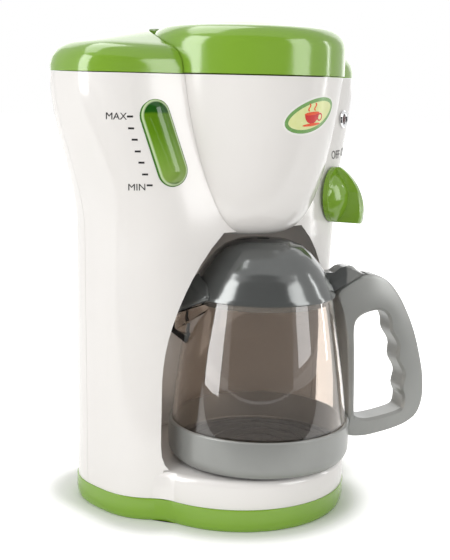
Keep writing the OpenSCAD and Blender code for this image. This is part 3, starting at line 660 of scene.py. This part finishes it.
def ribbon(length, width, sway):
    shape = bmesh.new()
    bmesh.ops.create_grid(shape, x_segments=1, y_segments=14, size=0.5)
    bmesh.ops.scale(shape, vec=(width, length, 1), verts=shape.verts)
    for vert in shape.verts:
        vert.co.x += sway * math.sin(2 * math.pi * vert.co.y / length)
    return shape


def rounded_strip(length, height):
    shape = disc(0.5, 32)
    bmesh.ops.scale(shape, vec=(length, height, 1), verts=shape.verts)
    return shape


def shifted(shape, x, y):
    bmesh.ops.translate(shape, vec=(x, y, 0), verts=shape.verts)
    return shape


motif = [
    ("motif_handle", shifted(ring(1.9, 0.7), 4.9, -1.2), vinyl_red, 0.14),
    ("motif_bowl", shifted(bowl(4.6), -0.4, 0.9), vinyl_red, 0.18),
    ("motif_brim", shifted(rounded_strip(9.6, 1.5), -0.4, 1.0), vinyl_orange, 0.22),
    ("motif_saucer", shifted(rounded_strip(11.5, 1.3), -0.4, -4.2), vinyl_orange, 0.22),
    ("motif_steam_left", shifted(ribbon(3.6, 0.8, 0.5), -2.4, 3.9), vinyl_orange, 0.18),
    ("motif_steam_right", shifted(ribbon(3.6, 0.8, 0.5), 1.4, 3.9), vinyl_orange, 0.18),
]
for name, shape, material, lift_mm in motif:
    wrap(name, shape, head_skin, sticker_at, sticker_out, [material], turn_deg=6,
         lift_mm=lift_mm)

# %% [markdown]
# The knob is worth a finer skin than its CAD solid has: a low dome with a fin across it that is
# thin and low at its pointed end and thick and tall at the square one. It is made as a relief, from
# two arcs: one gives the dome its height, and the other gives the fin's ridge. Each row of points
# across the knob has the same number of points, some of them placed just where the fin's walls
# stand, so the walls stay crisp. The rows crowd towards the rim, where the outline turns fastest.

# %% Relief of the knob
# All sizes are in millimetres, from the knob's axis and its foot. An arc is a radius and a centre.
knob_r, knob_edge = 14.4, 13.9
shoulder_z, foot_z = 3.0, 0.4
dome_r, dome_y, dome_z = 15.77, -2, -5.47
fin_r, fin_y, fin_z = 26, -8, -9
fin_reach, fin_thin, fin_gain, fin_drop = 14.6, 1.0, 2.8, 0.5
fin_share, top_share = 0.8, 0.8  # the most of a row that the fin takes, and its flat top's part
wall_lean, lean_share = 0.35, 0.1
flank_steps, row_steps, row_turn = 12, 48, 87


def knob_height(x, y, on_fin):
    height = shoulder_z
    if on_fin:
        height = fin_z + math.sqrt(fin_r ** 2 - (y - fin_y) ** 2)
        height -= fin_drop if on_fin == "edge" else 0.0
    elif math.hypot(x, y) < knob_edge:
        height = dome_z + math.sqrt(max(dome_r ** 2 - x * x - (y - dome_y) ** 2, 0.0))
    return max(height, shoulder_z)


def knob_row(y):
    reach = math.sqrt(knob_r ** 2 - y * y)
    fin_w = min(fin_thin + (fin_reach - y) / (2 * fin_reach) * fin_gain, reach * fin_share)
    top_w = fin_w * top_share
    wall_foot = fin_w + min(wall_lean, reach * lean_share)
    flank = [reach + (wall_foot - reach) * i / flank_steps for i in range(flank_steps + 1)]
    row = [(-x, "") for x in flank]
    row += [(-fin_w, "edge"), (-top_w, "top"), (0, "top"), (top_w, "top"), (fin_w, "edge")]
    row += [(x, "") for x in reversed(flank)]
    return [(x, y, knob_height(x, y, on_fin)) for x, on_fin in row]


turns = [math.radians(-row_turn + 2 * row_turn * i / row_steps) for i in range(row_steps + 1)]
relief = [knob_row(knob_r * math.sin(turn)) for turn in turns]
print("knob rows:", len(relief), "of", len(relief[0]), "points")

# %% [markdown]
# The relief is still an open sheet. Extruding its rim down makes a skirt, and one flat face closes
# the foot. The skin stands in for the CAD knob and turns with the same body.

# %% Knob
shape = bent_grid(relief)
rim_edges = [edge for edge in shape.edges if edge.is_boundary]
skirt = bmesh.ops.extrude_edge_only(shape, edges=rim_edges)["geom"]
for vert in (item for item in skirt if isinstance(item, bmesh.types.BMVert)):
    vert.co.z = foot_z
foot_edges = [item for item in skirt if isinstance(item, bmesh.types.BMEdge) and item.is_boundary]
bmesh.ops.edgeloop_fill(shape, edges=foot_edges)
knob_axis = Vector((0.37384, -0.92747, 0.00695)).normalized()
place_knob = onto_wall((54.743, -8.964, 152.5), knob_axis)
bmesh.ops.transform(shape, matrix=place_knob, verts=shape.verts)
bmesh.ops.recalc_face_normals(shape, faces=shape.faces)
knob_skin = new_piece("knob_skin", shape, [green_abs], smooth=True)
split_corners(knob_skin, 38)
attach(knob_skin, "knob")
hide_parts("knob")

# %% [markdown]
# Where the round front of the foot leaves the tower, the mould has a wide hollow curve and not a
# corner. Each fillet is a slim crescent seen from above: an arc of 20 mm radius that touches the
# lobe and the tower, closed by a point just inside both. A grid is bent round that outline, one
# row for each level, and its two ends are filled. A level is a height and how far the arc draws
# back there, in millimetres, because the neighbouring edges are rounded.

# %% Foot fillets
fillet_r = 20
arc_steps = 12
green_levels = [(0.2, 1.6), (1.0, 1.05), (2.0, 0.5), (3.0, 0.15), (11.3, 0.0)]
white_levels = [(11.7, 0.0), (22.5, 0.02), (23.3, 0.4), (24.0, 0.95), (24.6, 1.6), (24.95, 2.3)]


def foot_fillet(name, side, centre, from_deg, to_deg, inner, levels, material):
    angles = [math.radians(from_deg + (to_deg - from_deg) * i / arc_steps)
              for i in range(arc_steps + 1)]
    rows = []
    for z, back in levels:
        arc = [(centre[0] + (fillet_r + back) * math.cos(angle),
                centre[1] + (fillet_r + back) * math.sin(angle)) for angle in angles]
        rows.append([(side * x * MM, y * MM, z * MM) for x, y in [inner] + arc + [inner]])
    shape = bent_grid(rows)
    bmesh.ops.remove_doubles(shape, verts=shape.verts, dist=0.001 * MM)
    bmesh.ops.edgeloop_fill(shape, edges=[edge for edge in shape.edges if edge.is_boundary])
    bmesh.ops.recalc_face_normals(shape, faces=shape.faces)
    piece = new_piece(name, shape, [material], smooth=True)
    split_corners(piece, 50)
    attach(piece, "housing")


for side, word in ((1, "left"), (-1, "right")):
    foot_fillet(f"foot_fillet_green_{word}", side, (-72.26, -16.63), 13.0, 45.8, (-53.2, -5.6),
                green_levels, green_abs)
    foot_fillet(f"foot_fillet_white_{word}", side, (-71.98, -16.51), 12.9, 46.1, (-53.4, -5.0),
                white_levels, white_abs)

# %% [markdown]
# A black disc on the floor of the carafe is painted shade: through the smoke-tinted wall it shows
# as the deep shadow inside, and its three low rings stand for the rings seen on the cup's floor. It
# is spun from one profile round the carafe's axis. Its underside lies on the glass and is left out.

# %% Black disc of painted shade in the carafe
# The disc is nearly black, as painted shade, with a dull sheen.
shade_disc_paint = moulded_plastic("black disc, painted shade", "#0E0F10", "#151617", 0.4, cloud_mm=8)
shade_disc_r, shade_disc_low_z, shade_disc_top_z, rib_top_z = 38.8, 30.85, 31.2, 31.5
shade_disc_profile = [(0, shade_disc_top_z)]
for rib_r in (12, 23, 33):
    shade_disc_profile += [(rib_r, shade_disc_top_z), (rib_r + 0.4, rib_top_z), (rib_r + 1.2, rib_top_z),
                    (rib_r + 1.6, shade_disc_top_z)]
shade_disc_profile += [(shade_disc_r - 0.4, shade_disc_top_z), (shade_disc_r, shade_disc_top_z - 0.2), (shade_disc_r, shade_disc_low_z)]
shape = bmesh.new()
rim_points = [shape.verts.new((x * MM, 0, z * MM)) for x, z in shade_disc_profile]
profile_edges = [shape.edges.new(pair) for pair in zip(rim_points, rim_points[1:])]
bmesh.ops.spin(shape, geom=rim_points + profile_edges, cent=(0, 0, 0), axis=(0, 0, 1),
               angle=2 * math.pi, steps=96, use_merge=True)
bmesh.ops.remove_doubles(shape, verts=shape.verts, dist=0.01 * MM)
bmesh.ops.translate(shape, vec=(carafe_axis_mm[0] * MM, carafe_axis_mm[1] * MM, 0),
                    verts=shape.verts)
bmesh.ops.recalc_face_normals(shape, faces=shape.faces)
# The black disc is painted shade inside the carafe.
pad = new_piece("carafe_shade_disc", shape, [shade_disc_paint])
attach(pad, "carafe")

# %% [markdown]
# The toy stands in a small product studio, on a pale table that runs on into white. To meet that
# white, the table glows a little, and only for rays that see it: those of the camera, of gloss and
# of glass. So the toy itself is lit at a plain level. The glow fades close to the toy, where the
# table keeps the soft shadow, and for that the shader needs the gap between each spot of the table
# and the toy's outline: a circle for the round front and a rounded box for the tower.

# %% Outline of the toy on the table
lobe_r = 53 * MM
tower_middle = Vector((0, 28, 0)) * MM
tower_core = Vector((42, 16, 0)) * MM
tower_corner_r = 26.5 * MM


def seen_directly(tree):
    rays = add(tree, "ShaderNodeLightPath")
    sharp = add(tree, "ShaderNodeMath",
                {0: rays.outputs["Is Camera Ray"], 1: rays.outputs["Is Glossy Ray"]},
                operation="MAXIMUM")
    return add(tree, "ShaderNodeMath",
               {0: sharp.outputs[0], 1: rays.outputs["Is Transmission Ray"]},
               operation="MAXIMUM").outputs[0]


def gap_to_toy(tree):
    place = add(tree, "ShaderNodeTexCoord").outputs["Object"]
    from_lobe = add(tree, "ShaderNodeVectorMath", {0: place}, operation="LENGTH")
    past_lobe = add(tree, "ShaderNodeMath", {0: from_lobe.outputs["Value"], 1: lobe_r},
                    operation="SUBTRACT")
    from_middle = add(tree, "ShaderNodeVectorMath", {0: place, 1: tower_middle},
                      operation="SUBTRACT")
    folded = add(tree, "ShaderNodeVectorMath", {0: from_middle.outputs[0]}, operation="ABSOLUTE")
    past_core = add(tree, "ShaderNodeVectorMath", {0: folded.outputs[0], 1: tower_core},
                    operation="SUBTRACT")
    outside = add(tree, "ShaderNodeVectorMath", {0: past_core.outputs[0], 1: (0, 0, 0)},
                  operation="MAXIMUM")
    from_core = add(tree, "ShaderNodeVectorMath", {0: outside.outputs[0]}, operation="LENGTH")
    past_tower = add(tree, "ShaderNodeMath", {0: from_core.outputs["Value"], 1: tower_corner_r},
                     operation="SUBTRACT")
    return add(tree, "ShaderNodeMath", {0: past_lobe.outputs[0], 1: past_tower.outputs[0]},
               operation="MINIMUM").outputs[0]


# %% [markdown]
# The table's paint is a matt white with that glow added. The glow rises in two steps, a strong one
# just outside the shadow and a weak one that goes on for the width of a hand, because one step
# alone draws a halo round the toy.

# %% Floor
glow_steps = [(2 * MM, 18 * MM, 0.48), (0.0, 90 * MM, 0.3)]
floor_paint = bpy.data.materials.new("matt white table")
floor_paint.use_nodes = True
tree = floor_paint.node_tree
matt = add(tree, "ShaderNodeBsdfDiffuse", {"Color": linear("#EFEFED")})
gap = gap_to_toy(tree)
near_rise, far_rise = [
    add(tree, "ShaderNodeMapRange",
        {"Value": gap, "From Min": start, "From Max": end, "To Max": strength},
        interpolation_type="SMOOTHSTEP").outputs["Result"]
    for start, end, strength in glow_steps]
rise = add(tree, "ShaderNodeMath", {0: near_rise, 1: far_rise}, operation="ADD")
lift = add(tree, "ShaderNodeMath", {0: seen_directly(tree), 1: rise.outputs[0]},
           operation="MULTIPLY")
glow = add(tree, "ShaderNodeEmission", {"Color": linear("#FFFFFF"), "Strength": lift.outputs[0]})
both = add(tree, "ShaderNodeAddShader", {0: matt.outputs[0], 1: glow.outputs[0]})
tree.links.new(both.outputs[0], tree.nodes["Material Output"].inputs["Surface"])
floor = new_piece("studio_floor", disc(6.0), [floor_paint])

# %% [markdown]
# The surround is an even white. Where it is seen, it shows at full strength, and as light on the
# toy it counts for about half of that, so that the lamps can still model the form.

# %% Surround
world = bpy.data.worlds.new("studio")
scene.world = world
world.use_nodes = True
tree = world.node_tree
strength = add(tree, "ShaderNodeMix", {0: seen_directly(tree), 2: 0.55, 3: 1.0})
background = tree.nodes["Background"]
background.inputs["Color"].default_value = linear("#FFFFFF")
tree.links.new(strength.outputs[0], background.inputs["Strength"])
print("floor and surround ready")

# %% [markdown]
# Broad lamps model the form, and narrow bright windows draw the long reflections that tell gloss
# from satin. A lamp's brightness is what a reflection shows, so each is given by that, and its
# power follows from its area. Some lamps only light the matt part of a surface and some show
# only as reflections, as when a photographer flags a light.

# %% Lamps
toy = (0, 0, 0.12)


def aimed(place, target, axis):
    turn = (Vector(target) - Vector(place)).to_track_quat(axis, "Y")
    return Matrix.Translation(place) @ turn.to_matrix().to_4x4()


def soft_box(name, place, size, brightness, matt=True, mirrored=True):
    lamp = bpy.data.lights.new(name, "AREA")
    lamp.shape = "RECTANGLE"
    lamp.size, lamp.size_y = size
    lamp.energy = brightness * math.pi * size[0] * size[1]
    made = bpy.data.objects.new(name, lamp)
    made.matrix_world = aimed(place, toy, "-Z")
    made.visible_camera = False
    made.visible_diffuse = matt
    made.visible_glossy = mirrored
    made.visible_transmission = mirrored and matt
    scene.collection.objects.link(made)
    print("lit", name, "power:", round(lamp.energy, 2))


soft_box("key_left", (-1.1, 0.0, 0.6), (0.7, 0.9), 2.8, mirrored=False)
soft_box("fill_front", (-0.25, -1.3, 0.5), (1.0, 0.8), 1.6, mirrored=False)
soft_box("back_top", (0.75, 0.75, 0.6), (1.6, 0.9), 1.0)
soft_box("ceiling", (-0.1, 0.42, 1.1), (1.0, 0.5), 4, matt=False)
soft_box("window_left", (-0.82, 0.3, 0.4), (0.42, 1.0), 8, matt=False)
soft_box("window_front", (0.34, -0.93, 0.48), (0.42, 0.85), 5, matt=False)
soft_box("window_right", (0.79, -0.42, 0.3), (0.06, 0.6), 9, matt=False)

# %% [markdown]
# Two dark boards give the silver plastic and the clear carafe something dark to mirror: a card
# behind the camera and a mat that lies in front of the toy. No ray but a mirrored one meets them,
# so they take no light from the toy and throw no shadow.

# %% Dark boards
# Velvet swallows light, and the weak glow keeps it from mirroring as a hole.
card_paint = bpy.data.materials.new("black velvet board")
card_paint.use_nodes = True
tree = card_paint.node_tree
card_glow = add(tree, "ShaderNodeEmission", {"Color": linear("#FFFFFF"), "Strength": 0.08})
tree.links.new(card_glow.outputs[0], tree.nodes["Material Output"].inputs["Surface"])


def dark_board(name, place, target, size, turn_deg=0.0):
    shape = bmesh.new()
    bmesh.ops.create_grid(shape, x_segments=1, y_segments=1, size=0.5)
    bmesh.ops.scale(shape, vec=(size[0], size[1], 1), verts=shape.verts)
    turn = Matrix.Rotation(math.radians(turn_deg), 3, "Z")
    bmesh.ops.rotate(shape, matrix=turn, verts=shape.verts)
    bmesh.ops.transform(shape, matrix=aimed(place, target, "Z"), verts=shape.verts)
    card = new_piece(name, shape, [card_paint])
    card.visible_camera = False
    card.visible_diffuse = False
    card.visible_transmission = False
    card.visible_shadow = False


dark_board("dark_card", (-0.95, -1.02, 0.78), toy, (3.4, 2.0))
dark_board("dark_mat", (-0.52, -0.56, 0.002), (-0.52, -0.56, 1.0), (2.8, 1.25), turn_deg=-43)
